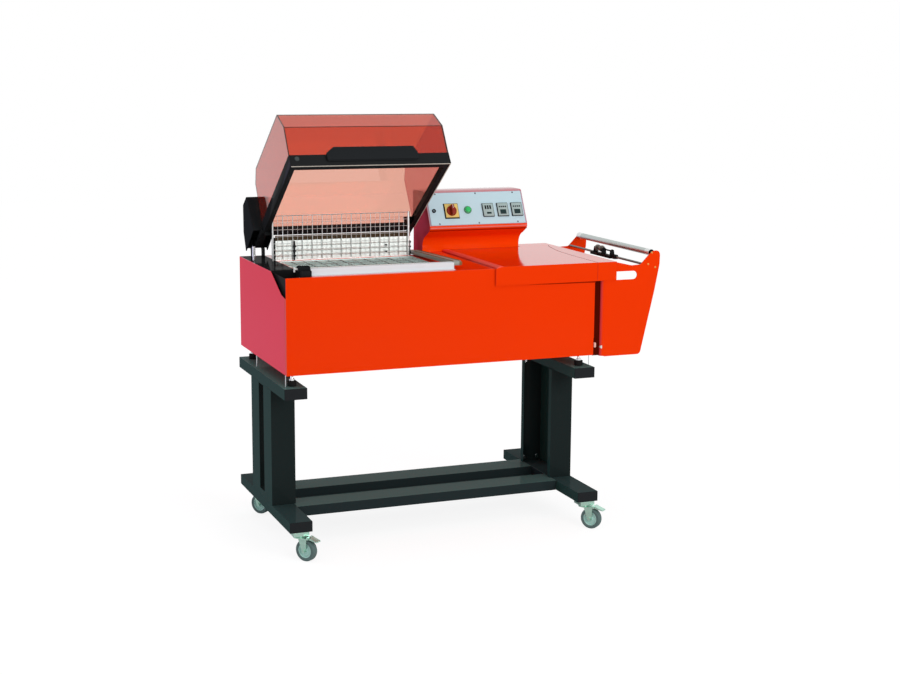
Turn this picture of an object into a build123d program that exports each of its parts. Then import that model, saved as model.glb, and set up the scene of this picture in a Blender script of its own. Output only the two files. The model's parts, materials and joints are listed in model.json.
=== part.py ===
"""Hood-type L-bar sealer with a shrink chamber, on a castor stand. Millimetres, Z up from the floor."""
import os
from math import atan2, degrees
from build123d import *

os.makedirs("parts", exist_ok=True)

# Machine datum: X 0 at the housing's left side, Y 0 at its front panel; the last shift centres the row.
shift_x = -733.5
shift_y = -294.04
running = 0.06
gap = 0.3

# Housing
house_w = 1200.0
house_d = 654.0
house_z0 = 666.0
deck_z = 1013.0
sheet = 2.0
back_y = house_d - sheet

# Castors: everything above the wheel follows from its radius
wheel_r = 40.0
wheel_w = 25.0
axle_r = 4.0
kingpin_r = 5.0
trail = 31.0
crown_bottom = 2 * wheel_r + 2.7
crown_top = crown_bottom + 3
race_top = crown_top + 6.3
trail_angle = degrees(atan2(-0.79, 0.61))
swivel_x = 34.0
swivel_front_y = -20.0
swivel_rear_y = house_d - 42

# Stand
bar_left = -8.0
bar_right = 75.0
bar_top = 619.0
bar_bottom = 579.0
foot_bottom = race_top + 15
foot_top = foot_bottom + 38
foot_y0 = -49.5
foot_y1 = house_d + 9
cap_t = 3.0
tube_wall = 3.0
col_w = 90.0
col_y0 = house_d / 2 - 137
col_y1 = house_d / 2 + 145
lip = 25.0
stud_front_y = 55.0
stud_rear_y = house_d - 54

# Hood, drawn closed about its hinge axis
hinge_y = house_d - 4
hinge_z = deck_z + 60
hinge_drop = deck_z - hinge_z
hood_open = 35.5
hood_x0 = 60.0
hood_x1 = 668.0
hood_l = hinge_y - 44
acrylic = 5.0
ring_z0 = -42.0
ring_leg = 24.0
hinge_pin_r = 6.0

# Chamber
cham_x0 = 103.0
cham_x1 = 637.0
cham_y0 = 80.0
cham_y1 = house_d - 186
pan_z0 = 850.0
blower_x = (cham_x0 + cham_x1) / 2
blower_y = (cham_y0 + cham_y1) / 2
blower_shaft_r = 6.0

# Seal frame
seal_y0 = 42.0
seal_y1 = 72.0
seal_x1 = 645.0
seal_hinge_y = cham_y1 + 32
seal_hinge_z = deck_z + 8
seal_pin_r = 4.0

# Console
con_x0 = 715.0
con_x1 = 1131.0
con_y0 = house_d - 184
panel_t = 3.0

# Loading tray and film guide
tray_z = deck_z + 7
tray_x0 = 820.0
tray_y0 = -8.0
tray_y1 = con_y0 + 78
seam = [(house_w + 7, tray_y0), (house_w + 7, 34), (house_w + 9, 213), (house_w + 62, tray_y1)]

# Film cradle
plate_t = 3.0
skin = 1.0
cradle_x0 = house_w + 18
cradle_y1 = house_d - 27
guide_x = house_w + 240
guide_z = deck_z + 34
roller_axle_r = 5.0
rod_x = house_w + 200
rod_z = deck_z - 7
rod_r = 4.5
support_x = (house_w + 36, house_w + 172)
support_z = 695.0
support_axle_r = 6.0
perf_y = 325.0
perf_wheel_r = 14.0
perf_axle_r = 3.0


def block(x0, x1, y0, y1, z0, z1, mode=Mode.ADD):
    """A box between two corners."""
    with Locations(((x0 + x1) / 2, (y0 + y1) / 2, (z0 + z1) / 2)):
        Box(x1 - x0, y1 - y0, z1 - z0, mode=mode)


def prism_x(points, x0, x1, mode=Mode.ADD):
    """A profile of (Y, Z) points, drawn out along X."""
    with BuildSketch(Plane.YZ.offset(x0)) as profile:
        with BuildLine():
            Polyline(*points, close=True)
        make_face()
    extrude(profile.sketch, amount=x1 - x0, mode=mode)


def prism_y(points, y0, y1, mode=Mode.ADD):
    """A profile of (X, Z) points, drawn out along Y."""
    with BuildSketch(Plane.XZ.offset(-y1)) as profile:
        with BuildLine():
            Polyline(*points, close=True)
        make_face()
    extrude(profile.sketch, amount=y1 - y0, mode=mode)


def rod(start, direction, radius, length, mode=Mode.ADD, sides=0):
    """A round bar from a point along a direction, or a bar of that many flats."""
    with BuildSketch(Plane(origin=start, z_dir=direction)) as profile:
        if sides:
            RegularPolygon(radius, sides)
        else:
            Circle(radius)
    extrude(profile.sketch, amount=length, mode=mode)


def save(body, label, place=Location()):
    """Put a sub-part in the row's frame, name it and write its file."""
    placed = body.part.moved(Location((shift_x, shift_y, 0)) * place)
    placed.label = label
    export_step(placed, f"parts/{label}.step")


# Stand: top bars under the housing and foot bars over the castors, as rectangular tubes
bar_w = bar_right - bar_left
bar_starts = (bar_left, house_w - bar_right)
with BuildPart() as top_bars:
    for x0 in bar_starts:
        block(x0, x0 + bar_w, cap_t, house_d - cap_t, bar_bottom, bar_top)
        block(x0 + tube_wall, x0 + bar_w - tube_wall, cap_t, house_d - cap_t, bar_bottom + tube_wall,
              bar_top - tube_wall, Mode.SUBTRACT)
save(top_bars, "stand_top_bars")

with BuildPart() as foot_bars:
    for x0 in bar_starts:
        block(x0, x0 + bar_w, foot_y0 + cap_t, foot_y1 - cap_t, foot_bottom, foot_top)
        block(x0 + tube_wall, x0 + bar_w - tube_wall, foot_y0 + cap_t, foot_y1 - cap_t, foot_bottom + tube_wall,
              foot_top - tube_wall, Mode.SUBTRACT)
save(foot_bars, "stand_foot_bars")

with BuildPart() as end_caps:
    for x0 in bar_starts:
        for y0 in (0, house_d - cap_t):
            block(x0, x0 + bar_w, y0, y0 + cap_t, bar_bottom, bar_top)
        for y0 in (foot_y0, foot_y1 - cap_t):
            block(x0, x0 + bar_w, y0, y0 + cap_t, foot_bottom, foot_top)
save(end_caps, "bar_end_caps")

# Columns: lipped channels, open towards the middle, with a long slot in the web
with BuildPart() as columns:
    for outer, inner in ((bar_left, 1), (house_w - bar_left, -1)):
        for a, b, y0, y1 in ((0, 3, col_y0, col_y1),
                             (3, col_w, col_y0, col_y0 + 3),
                             (3, col_w, col_y1 - 3, col_y1),
                             (col_w - 3, col_w, col_y0 + 3, col_y0 + lip),
                             (col_w - 3, col_w, col_y1 - lip, col_y1 - 3)):
            ends = sorted((outer + inner * a, outer + inner * b))
            block(ends[0], ends[1], y0, y1, foot_top, bar_bottom)
        ends = sorted((outer - inner, outer + inner * 3))
        block(ends[0], ends[1], col_y0 + 107, col_y0 + 172, foot_top + 25, bar_bottom - 4, Mode.SUBTRACT)
save(columns, "stand_columns")

# Lower shelf: one bent sheet between the feet, with a lower tray along its middle
shelf_y0 = col_y0 - 45
shelf_y1 = col_y1 + 24
recess_y0 = shelf_y0 + 108
recess_y1 = shelf_y1 - 119
with BuildPart() as shelf:
    x0 = bar_right
    x1 = house_w - bar_right
    lower = foot_bottom + 1
    upper = foot_top - sheet
    prism_x([(shelf_y0, foot_bottom), (shelf_y0 + sheet, foot_bottom), (shelf_y0 + sheet, upper),
             (recess_y0 - sheet, upper), (recess_y0 - sheet, lower), (recess_y1 + sheet, lower),
             (recess_y1 + sheet, upper), (shelf_y1 - sheet, upper), (shelf_y1 - sheet, foot_bottom),
             (shelf_y1, foot_bottom), (shelf_y1, foot_top), (recess_y1, foot_top), (recess_y1, lower + sheet),
             (recess_y0, lower + sheet), (recess_y0, foot_top), (shelf_y0, foot_top)], x0, x1)
    for a in (x0, x1 - sheet):
        block(a, a + sheet, shelf_y0 + sheet, recess_y0 - sheet, foot_bottom, upper)
        block(a, a + sheet, recess_y0, recess_y1, lower + sheet, foot_top)
        block(a, a + sheet, recess_y1 + sheet, shelf_y1 - sheet, foot_bottom, upper)
save(shelf, "lower_shelf")

# Hexagon bolts: in the columns' rear flanges and on the film cradle's plates
bolt_xs = (bar_left + 19, bar_left + col_w - 12, house_w - bar_left - col_w + 12, house_w - bar_left - 19)
with BuildPart() as bolts:
    for x in bolt_xs:
        for z in (foot_top + 16, bar_bottom - 14):
            rod((x, col_y1 - 3, z), (0, -1, 0), 7.5, 5.5, sides=6)
    for x, z in ((guide_x - 15, deck_z - 9), (guide_x + 16, deck_z - 22)):
        rod((x, 0, z), (0, -1, 0), 7.5, 5, sides=6)
        rod((x, cradle_y1 + plate_t, z), (0, 1, 0), 7.5, 5, sides=6)
save(bolts, "hex_bolts")

# Machine feet between the stand and the housing, with their studs and the thin locating pins
foot_h = 19.0
with BuildPart() as feet:
    with Locations(*[(x, y, bar_top) for x in (swivel_x, house_w - swivel_x) for y in (stud_front_y, stud_rear_y)]):
        Cylinder(16, foot_h, align=(Align.CENTER, Align.CENTER, Align.MIN))
save(feet, "machine_feet")

with BuildPart() as studs:
    for x in (swivel_x, house_w - swivel_x):
        for y in (stud_front_y, stud_rear_y):
            rod((x, y, bar_top + foot_h), (0, 0, 1), 9.8, 8, sides=6)
            rod((x, y, bar_top + foot_h), (0, 0, 1), 5, house_z0 - bar_top - foot_h)
    for x in (4, house_w - 4):
        for y in (30, 430):
            rod((x, y, bar_top), (0, 0, 1), 1.5, house_z0 - bar_top, sides=8)
save(studs, "foot_studs")

# Castor, drawn at the origin with its trail along +X, then placed four times
pedal_x = 46.0
pedal_z = crown_top + 0.8
with BuildPart() as castor_plate:
    block(-29, 29, -29, 29, race_top, foot_bottom)
    rod((0, 0, crown_top + gap), (0, 0, 1), 20, race_top - crown_top - gap)
    rod((0, 0, crown_bottom - gap), (0, 0, 1), kingpin_r, crown_top - crown_bottom + 2 * gap)
    rod((0, 0, crown_bottom - 4.7), (0, 0, 1), 9, 4.4)

with BuildPart() as fork:
    with BuildSketch(Plane.XY.offset(crown_bottom)) as crown:
        Circle(22)
        with Locations((20, 0)):
            Rectangle(44, 34)
    extrude(crown.sketch, amount=crown_top - crown_bottom)
    for y0 in (-17, 14.5):
        prism_y([(6, crown_bottom), (42, crown_bottom), (42, wheel_r + 34), (trail + 8, wheel_r - 4),
                 (trail - 8, wheel_r - 4)], y0, y0 + 2.5)
    rod((trail, -19, wheel_r), (0, 1, 0), axle_r, 38)
    rod((0, 0, wheel_r + 30), (0, 0, 1), kingpin_r + running, 20 + wheel_r, Mode.SUBTRACT)

with BuildPart() as braked_fork:
    add(fork.part)
    for y0 in (-17, 14.5):
        prism_y([(30, crown_bottom), (51, crown_bottom), (51, crown_top + 5.3), (41.8, crown_top + 5.3),
                 (41.8, crown_top), (30, crown_top)], y0, y0 + 2.5)
    block(36, 42, -14.5, 14.5, crown_bottom - 2, crown_bottom)
    rod((pedal_x, -17, pedal_z), (0, 1, 0), 2.5, 34)

with BuildPart() as wheel:
    with BuildSketch(Plane.XZ) as section:
        with BuildLine():
            Polyline((axle_r + running, -wheel_w / 2), (wheel_r - 4, -wheel_w / 2), (wheel_r, 4 - wheel_w / 2),
                     (wheel_r, wheel_w / 2 - 4), (wheel_r - 4, wheel_w / 2), (axle_r + running, wheel_w / 2),
                     close=True)
        make_face()
    revolve(section.sketch, Axis.Z)
wheel_place = Location((trail, 0, wheel_r), (90, 0, 0))

with BuildPart() as pedal:
    prism_y([(43, crown_top + 5.3), (51, crown_top + 5.3), (83, crown_top - 5.7), (84, crown_top - 9.2),
             (50, crown_top - 3.1), (43, crown_top - 3.1)], -13.5, 13.5)
    rod((pedal_x, -14, pedal_z), (0, 1, 0), 2.5 + running, 28, Mode.SUBTRACT)

castor_places = {}
for end, y in (("front", swivel_front_y), ("rear", swivel_rear_y)):
    for side, x in (("left", swivel_x), ("right", house_w - swivel_x)):
        castor_places[f"{end}_{side}"] = Location((x, y, 0), (0, 0, trail_angle))
with BuildPart() as castor_plates:
    for place in castor_places.values():
        add(castor_plate.part.moved(Location((place.position.X, place.position.Y, 0))))
save(castor_plates, "castor_plates")
for corner, place in castor_places.items():
    save(braked_fork if "front" in corner else fork, f"castor_fork_{corner}", place)
    save(wheel, f"castor_wheel_{corner}", place * wheel_place)
    if "front" in corner:
        save(pedal, f"brake_pedal_{corner}", place)

# Housing sheets; the left side has a notch at its front, beside the open pocket
notch_z = deck_z - 73
with BuildPart() as front_panel:
    block(0, house_w, 0, sheet, house_z0, deck_z)
    block(0, sheet, sheet, 17, house_z0, notch_z)
    block(sheet, house_w - sheet, sheet, 20, house_z0, house_z0 + sheet)
save(front_panel, "front_panel")

with BuildPart() as left_panel:
    prism_x([(17, house_z0), (back_y, house_z0), (back_y, deck_z), (200, deck_z), (60, deck_z - 66),
             (17, notch_z)], 0, sheet)
save(left_panel, "left_side_panel")

with BuildPart() as right_panel:
    block(house_w - sheet, house_w, sheet, back_y, house_z0, deck_z)
save(right_panel, "right_side_panel")

gland_x = house_w - 150
gland_z = house_z0 + 54
with BuildPart() as rear_panel:
    block(0, house_w, back_y, house_d, house_z0, deck_z)
    for x in (250, house_w - 250):
        for row in range(8):
            z = deck_z - 202 + row * 14
            block(x - 80, x + 80, back_y - 1, house_d + 1, z - 3, z + 3, Mode.SUBTRACT)
    rod((gland_x, back_y - 1, gland_z), (0, 1, 0), 8, sheet + 2, Mode.SUBTRACT)
save(rear_panel, "rear_panel")

with BuildPart() as gland:
    rod((gland_x, back_y, gland_z), (0, 1, 0), 8 - running, sheet)
    rod((gland_x, house_d, gland_z), (0, 1, 0), 13, 8, sides=6)
    rod((gland_x, house_d + 8, gland_z), (0, 1, 0), 9, 10)
save(gland, "cable_gland")

with BuildPart() as base:
    block(sheet, house_w - sheet, 20, back_y, house_z0, house_z0 + sheet)
    with Locations((house_w / 2, house_d / 2, house_z0)):
        with GridLocations(18, 1, 12, 1):
            Box(7, 140, 10, mode=Mode.SUBTRACT)
save(base, "base_plate")

# Top deck with the chamber's opening; the left end is a black plate over an open pocket
pocket_z = deck_z - 113
pocket_y1 = 215.0
deck_x0 = 97.0
with BuildPart() as deck:
    block(deck_x0, house_w - sheet, sheet, back_y, deck_z - sheet, deck_z)
    block(cham_x0, cham_x1, cham_y0, cham_y1, deck_z - 5, deck_z + 5, Mode.SUBTRACT)
save(deck, "top_deck")

with BuildPart() as left_deck:
    block(sheet, deck_x0, pocket_y1, back_y, deck_z - sheet, deck_z)
    block(sheet, deck_x0, pocket_y1, pocket_y1 + sheet, pocket_z + sheet, deck_z - sheet)
    block(12, deck_x0, sheet, pocket_y1 + sheet, pocket_z, pocket_z + sheet)
    block(10, 12, sheet, pocket_y1, pocket_z, deck_z - 7)
    block(deck_x0, deck_x0 + sheet, sheet, pocket_y1 + sheet, pocket_z, deck_z - sheet)
save(left_deck, "left_deck_plate")

# Shrink chamber: stainless pan with a ledge for the grid, rear wall with clips, and wire guard
pan_t = 1.5
ledge_z = deck_z - 13
with BuildPart() as pan:
    block(cham_x0 - 2, cham_x1 + 2, cham_y0 - 2, cham_y1 + 2, pan_z0, deck_z - sheet)
    block(cham_x0 - 0.5, cham_x1 + 0.5, cham_y0 - 0.5, cham_y1 + 0.5, pan_z0 + pan_t, deck_z, Mode.SUBTRACT)
    block(cham_x0 - 0.5, cham_x1 + 0.5, cham_y0 - 0.5, cham_y1 + 0.5, ledge_z, ledge_z + pan_t)
    block(cham_x0 + 12, cham_x1 - 12, cham_y0 + 12, cham_y1 - 12, ledge_z - 9, ledge_z + 9, Mode.SUBTRACT)
    rod((blower_x, blower_y, pan_z0 - 5), (0, 0, 1), 14, 10, Mode.SUBTRACT)
save(pan, "chamber_pan")

wall_y = cham_y1 + 10
with BuildPart() as rear_wall:
    prism_x([(wall_y, deck_z), (wall_y, deck_z + 14), (wall_y - 1.5, deck_z + 17), (wall_y, deck_z + 20),
             (wall_y, deck_z + 33), (wall_y - 1.5, deck_z + 36), (wall_y, deck_z + 39), (wall_y, deck_z + 52),
             (wall_y - 1.5, deck_z + 55), (wall_y, deck_z + 58), (wall_y, deck_z + 75), (wall_y + 2, deck_z + 75),
             (wall_y + 2, deck_z)], cham_x0 - 8, cham_x1 - 1)
save(rear_wall, "chamber_rear_wall")

guard_y = wall_y - 6
guard_x0 = cham_x0 - 9
guard_x1 = cham_x1 - 17
guard_h = 172.0
guard_wires = 20
with BuildPart() as guard:
    for x in (guard_x0, guard_x1):
        rod((x, guard_y, deck_z), (0, 0, 1), 3, guard_h, sides=8)
    for z in (deck_z + 7, deck_z + 60, deck_z + 114, deck_z + guard_h - 3):
        rod((guard_x0, guard_y, z), (1, 0, 0), 1.6, guard_x1 - guard_x0, sides=6)
    for i in range(1, guard_wires):
        x = guard_x0 + i * (guard_x1 - guard_x0) / guard_wires
        rod((x, guard_y, deck_z + 7), (0, 0, 1), 1.5, guard_h - 10, sides=6)
save(guard, "wire_guard")

with BuildPart() as heaters:
    for y in (cham_y0 + 40, cham_y0 + 80, cham_y1 - 80, cham_y1 - 40):
        rod((cham_x0 - 0.5, y, pan_z0 + 90), (1, 0, 0), 6, cham_x1 - cham_x0 + 1, sides=12)
save(heaters, "heater_rods")

# Blower under the pan: motor, and an impeller inside the pan on the motor's shaft
with BuildPart() as motor:
    rod((blower_x, blower_y, pan_z0 - 110), (0, 0, 1), 60, 110)
    rod((blower_x, blower_y, pan_z0 - 20), (0, 0, 1), blower_shaft_r + running, 30, Mode.SUBTRACT)
save(motor, "blower_motor")

with BuildPart() as impeller:
    with Locations((blower_x, blower_y, pan_z0 + 12)):
        Cylinder(90, 3, align=(Align.CENTER, Align.CENTER, Align.MIN))
        with PolarLocations(62, 12):
            Box(44, 3, 40, align=(Align.CENTER, Align.CENTER, Align.MIN))
    rod((blower_x, blower_y, pan_z0 - 19), (0, 0, 1), blower_shaft_r, 60)
save(impeller, "blower_impeller")

# Lift-out product grid, lying on the pan's ledge
grid_z0 = ledge_z + pan_t + gap
with BuildPart() as grid:
    gx0 = cham_x0 + 2
    gx1 = cham_x1 - 2
    gy0 = cham_y0 + 2
    gy1 = cham_y1 - 2
    block(gx0, gx1, gy0, gy1, grid_z0, grid_z0 + 7)
    block(gx0 + 6, gx1 - 6, gy0 + 6, gy1 - 6, grid_z0 - 1, grid_z0 + 9, Mode.SUBTRACT)
    for i in range(1, 12):
        x = gx0 + i * (gx1 - gx0) / 12
        block(x - 1.5, x + 1.5, gy0 + 5, gy1 - 5, grid_z0 + 2, grid_z0 + 6)
    for i in range(1, 9):
        y = gy0 + i * (gy1 - gy0) / 9
        block(gx0 + 5, gx1 - 5, y - 1.5, y + 1.5, grid_z0 + 2, grid_z0 + 6)
save(grid, "product_grid")

# Hinge brackets on the deck, with the pins that the hood turns on
with BuildPart() as brackets:
    for x0 in (40, 82, hood_x1 - 25, hood_x1 - 1):
        prism_x([(hinge_y - 45, deck_z), (hinge_y - 14, deck_z), (hinge_y - 14, hinge_z - 38),
                 (hinge_y + 7, hinge_z - 3), (hinge_y - 7, hinge_z + 7), (hinge_y - 45, hinge_z - 30)], x0, x0 + 6)
        rod((x0, hinge_y, hinge_z), (1, 0, 0), 9, 6)
    rod((38, hinge_y, hinge_z), (1, 0, 0), hinge_pin_r, 52)
    rod((hood_x1 - 27, hinge_y, hinge_z), (1, 0, 0), hinge_pin_r, 34)
save(brackets, "hinge_brackets")

# Hood shell: one bent acrylic sheet with glued sides, all drawn closed with the hinge axis at Y 0, Z 0
hood_place = Location((0, hinge_y, hinge_z), (-hood_open, 0, 0))
with BuildPart() as shell:
    prism_x([(-hood_l, 4), (-hood_l - 6, 119), (-hood_l + 43, 203), (-188, 209), (-145, 165), (-136, 4)],
            hood_x0, hood_x1)
    prism_x([(5 - hood_l, 3), (-hood_l - 1, 117.6), (-hood_l + 46, 198), (-190.2, 203.9), (-150, 163), (-141, 3)],
            hood_x0 + acrylic, hood_x1 - acrylic, Mode.SUBTRACT)
save(shell, "hood_shell", hood_place)

# Hood frame: a ring of black angle section under the acrylic
ring_front = -hood_l - 2
ring_back = -136.0
ring_t = 4.0
with BuildPart() as ring:
    block(hood_x0, hood_x1, ring_front, ring_back, ring_z0, ring_t)
    block(hood_x0 + ring_t, hood_x1 - ring_t, ring_front + ring_t, ring_back - ring_t, ring_z0 + ring_t, 5,
          Mode.SUBTRACT)
    block(hood_x0 + ring_t + ring_leg, hood_x1 - ring_t - ring_leg, ring_front + ring_t + ring_leg,
          ring_back - ring_t - 20, ring_z0 - 1, 5, Mode.SUBTRACT)
save(ring, "hood_frame", hood_place)

handle_x0 = 190.0
handle_x1 = 545.0
with BuildPart() as handle:
    prism_y([(handle_x0, 4), (handle_x0, -30), (handle_x1, -30), (handle_x1, 4), (handle_x1 - 15, 31),
             (handle_x0 + 35, 31)], ring_front - 14, ring_front - 5)
    block(handle_x0 + 10, handle_x1 - 9, ring_front - 5, ring_front, -26, 0)
    fillet(handle.edges().filter_by(Axis.Y).group_by(Axis.Z)[-1], 8)
save(handle, "hood_handle", hood_place)

with BuildPart() as arms:
    for x0, x1 in ((52, 76), (hood_x1 - 16, hood_x1 - 4)):
        prism_x([(ring_back, ring_z0), (ring_back, -26), (-40, -26), (-7, 9), (9, 7), (9, -8), (-20, ring_z0)],
                x0, x1)
        rod((x0, 0, 0), (1, 0, 0), 11, x1 - x0)
        rod((x0, 0, 0), (1, 0, 0), hinge_pin_r + running, x1 - x0, Mode.SUBTRACT)
    block(52, 76, -119.5, -112, -26, 0)
save(arms, "hood_hinge_arms", hood_place)

with BuildPart() as cover:
    prism_x([(-122, 118), (-114, 127), (-51, 128), (8, 42), (20, -32), (17, -36), (-122, -24)], 24, 109)
    prism_x([(-119.5, 117), (-112.6, 124.5), (-52.4, 125.5), (5.6, 41.2), (17.6, -33), (17.6, -40), (-119.5, -40)],
            26.5, 106.5, Mode.SUBTRACT)
    block(26.5, 106.5, -130, 30, -60, -23.8, Mode.SUBTRACT)
    block(50, 78, -125, -115, -60, -23, Mode.SUBTRACT)
save(cover, "hinge_cover", hood_place)

# L-shaped seal frame, raised by its springs and hinged at the rear
seal_z0 = deck_z + 12.5
seal_z1 = deck_z + 34
with BuildPart() as seal_frame:
    block(cham_x0, seal_x1, seal_y0, seal_y1, seal_z0, seal_z1)
    prism_x([(seal_y0, seal_z0), (seal_hinge_y - 7, deck_z + 1.8), (seal_hinge_y + 7, deck_z + 3),
             (seal_hinge_y + 7, deck_z + 15), (seal_y0, seal_z1)], seal_x1, seal_x1 + 35)
    rod((seal_x1 - 1, seal_hinge_y, seal_hinge_z), (1, 0, 0), seal_pin_r + running, 40, Mode.SUBTRACT)
save(seal_frame, "seal_frame")

with BuildPart() as terminal:
    block(hood_x0, cham_x0, seal_y0 + 2, seal_y1 - 2, seal_z0 + 2, seal_z1 - 2)
    for x in range(64, 100, 8):
        block(x, x + 4, seal_y0, seal_y1, seal_z0 + 1, seal_z1 - 0.5)
save(terminal, "terminal_block")

with BuildPart() as seal_mounts:
    rod((seal_x1 - 7, seal_hinge_y, seal_hinge_z), (1, 0, 0), seal_pin_r, 48)
    for x0 in (seal_x1 - 7, seal_x1 + 36):
        block(x0, x0 + 6, seal_hinge_y - 6, seal_hinge_y + 6, deck_z, deck_z + 12)
    for x in (180, 560):
        rod((x, (seal_y0 + seal_y1) / 2, deck_z - sheet), (0, 0, -1), 8, 30, sides=12)
save(seal_mounts, "seal_frame_mounts")

with BuildPart() as seal_rail:
    block(cham_x0, seal_x1, seal_y0 - 4.5, seal_y0 - 2.5, deck_z, deck_z + 25)
    block(cham_x0, seal_x1, seal_y0 - 17, seal_y0 - 4.5, deck_z, deck_z + sheet)
save(seal_rail, "seal_guide_rail")

# Operator console: a bent sheet box that overhangs the tray, with a sloping control panel
with BuildPart() as console:
    prism_x([(con_y0 + 83, deck_z), (con_y0 + 83, deck_z + 50), (con_y0 + 21, deck_z + 81), (con_y0, deck_z + 95),
             (con_y0, deck_z + 110), (con_y0 + 65, deck_z + 237), (con_y0 + 72, deck_z + 241),
             (con_y0 + 176, deck_z + 241), (house_d, deck_z + 234), (house_d, deck_z)], con_x0, con_x1)
    prism_x([(con_y0 + 85, deck_z - 1), (con_y0 + 85, deck_z + 51.3), (con_y0 + 22, deck_z + 82.8),
             (con_y0 + 2, deck_z + 96), (con_y0 + 2, deck_z + 109.5), (con_y0 + 66.4, deck_z + 235.2),
             (con_y0 + 72.6, deck_z + 239), (con_y0 + 175, deck_z + 239), (back_y, deck_z + 233),
             (back_y, deck_z - 1)], con_x0 + sheet, con_x1 - sheet, Mode.SUBTRACT)
save(console, "console_housing")

# Control panel and its fittings, drawn flat: X along the console, Y up the slope, Z outwards
panel_place = Plane(origin=(con_x0, con_y0, deck_z + 110), x_dir=(1, 0, 0), z_dir=(0, -127, 65)).location
with BuildPart() as control_panel:
    block(7, con_x1 - con_x0 - 7, 2, 138, 0, panel_t)
    fillet(control_panel.edges().filter_by(Axis.Z), 4)
save(control_panel, "control_panel", panel_place)

with BuildPart() as modules:
    for x0, x1 in ((231, 279), (294, 342), (355, 403)):
        block(x0, x1, 31, 88, panel_t, panel_t + 5)
        block(x0 + 5, x1 - 5, 36, 60, panel_t + 5, panel_t + 6)
    rod((26, 62.6, panel_t), (0, 0, 1), 8, 5)
save(modules, "digital_modules", panel_place)

switch_at = (99, 60)
button_at = (169, 63)
button_r = 11.0
with BuildPart() as switch_plate:
    block(68, 130, 28, 92, panel_t, panel_t + 3)
    with BuildSketch(Plane.XY.offset(panel_t)) as bezel:
        with Locations(button_at):
            Circle(button_r + 5)
            Circle(button_r + 0.4, mode=Mode.SUBTRACT)
    extrude(bezel.sketch, amount=6)
save(switch_plate, "switch_plate_and_bezel", panel_place)

with BuildPart() as knob:
    with Locations((*switch_at, panel_t + 3 + gap)):
        Cylinder(21, 6, align=(Align.CENTER, Align.CENTER, Align.MIN))
        Box(12, 42, 22, align=(Align.CENTER, Align.CENTER, Align.MIN))
save(knob, "switch_knob", panel_place)

with BuildPart() as button:
    with Locations((*button_at, panel_t + 3.4)):
        Cylinder(button_r, 8, align=(Align.CENTER, Align.CENTER, Align.MIN))
save(button, "start_button", panel_place)

# Loading tray, sliding along X on two runners, and the fixed film guide behind its curved seam
tray_lip_z = deck_z - 63
with BuildPart() as tray:
    with BuildSketch(Plane.XY.offset(tray_z - sheet)) as top:
        with BuildLine():
            curve = Spline(*seam)
            Polyline(curve @ 1, (tray_x0, tray_y1), (tray_x0, tray_y0), curve @ 0)
        make_face()
    extrude(top.sketch, amount=sheet)
    prism_y([(tray_x0, tray_z), (tray_x0 - 23, deck_z + 2.5), (tray_x0 - 23, deck_z + 0.5),
             (tray_x0, tray_z - sheet)], tray_y0, tray_y1)
    prism_y([(tray_x0 - 28, tray_lip_z), (seam[0][0], tray_lip_z), (seam[0][0], tray_z), (tray_x0, tray_z),
             (tray_x0 - 28, deck_z + 1)], tray_y0, tray_y0 + sheet)
    for y in (70, 450):
        block(tray_x0 + 10, house_w - 10, y, y + 20, deck_z + gap, tray_z - sheet)
save(tray, "loading_tray")

guide_x1 = house_w + 87
with BuildPart() as film_guide:
    with BuildSketch(Plane.XY.offset(tray_z - sheet)) as top:
        with BuildLine():
            curve = Spline(*[(x + 0.8, y) for x, y in seam])
            Polyline(curve @ 1, (seam[3][0] + 0.8, tray_y1 + 1), (con_x1 + 6, tray_y1 + 1),
                     (con_x1 + 6, cradle_y1 + 1), (guide_x1, cradle_y1 + 1), (guide_x1, tray_y0), curve @ 0)
        make_face()
    extrude(top.sketch, amount=sheet)
    block(seam[0][0] + 1, guide_x1, tray_y0, tray_y0 + sheet, tray_lip_z, tray_z)
    block(con_x1 + 9, house_w - 3, tray_y1 + 12, tray_y1 + 72, deck_z, tray_z - sheet)
save(film_guide, "film_guide_plate")

# Film cradle: two end plates on angle brackets, each with a hand slot and sockets for the rollers' stubs
with BuildPart() as cradle:
    for y0 in (0, cradle_y1):
        x0 = cradle_x0
        prism_y([(x0, 678), (x0 + 5, 671), (x0 + 28, 658), (x0 + 171, 658), (x0 + 179, 661), (x0 + 183, 668),
                 (x0 + 237, deck_z - 110), (x0 + 256, deck_z - 11), (x0 + 257, deck_z + 28),
                 (x0 + 252, deck_z + 38), (x0 + 242, deck_z + 42), (x0 + 225, deck_z + 40),
                 (x0 + 214, deck_z + 32), (x0 + 174, deck_z - 9), (x0 + 137, deck_z - 11), (x0 + 66, deck_z + 5),
                 (x0, deck_z + 5)], y0, y0 + plate_t)
        with BuildSketch(Plane.XZ.offset(-y0 - 10)) as slot:
            with Locations((x0 + 96, deck_z - 53)):
                SlotOverall(128, 36)
        extrude(slot.sketch, amount=20, mode=Mode.SUBTRACT)
    rod((guide_x, skin, guide_z), (0, 1, 0), roller_axle_r + running, house_d, Mode.SUBTRACT)
    for x in support_x:
        rod((x, skin, support_z), (0, 1, 0), support_axle_r + running, house_d, Mode.SUBTRACT)
save(cradle, "cradle_plates")

with BuildPart() as cradle_brackets:
    for y0, y1, side in ((plate_t, plate_t + 3, 1), (cradle_y1 - 3, cradle_y1, -1)):
        block(house_w, house_w + 45, y0, y1, 730, 930)
        leg = (y1, y1 + 30) if side > 0 else (y0 - 30, y0)
        block(house_w, house_w + 3, leg[0], leg[1], 730, 930)
save(cradle_brackets, "cradle_brackets")

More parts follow.
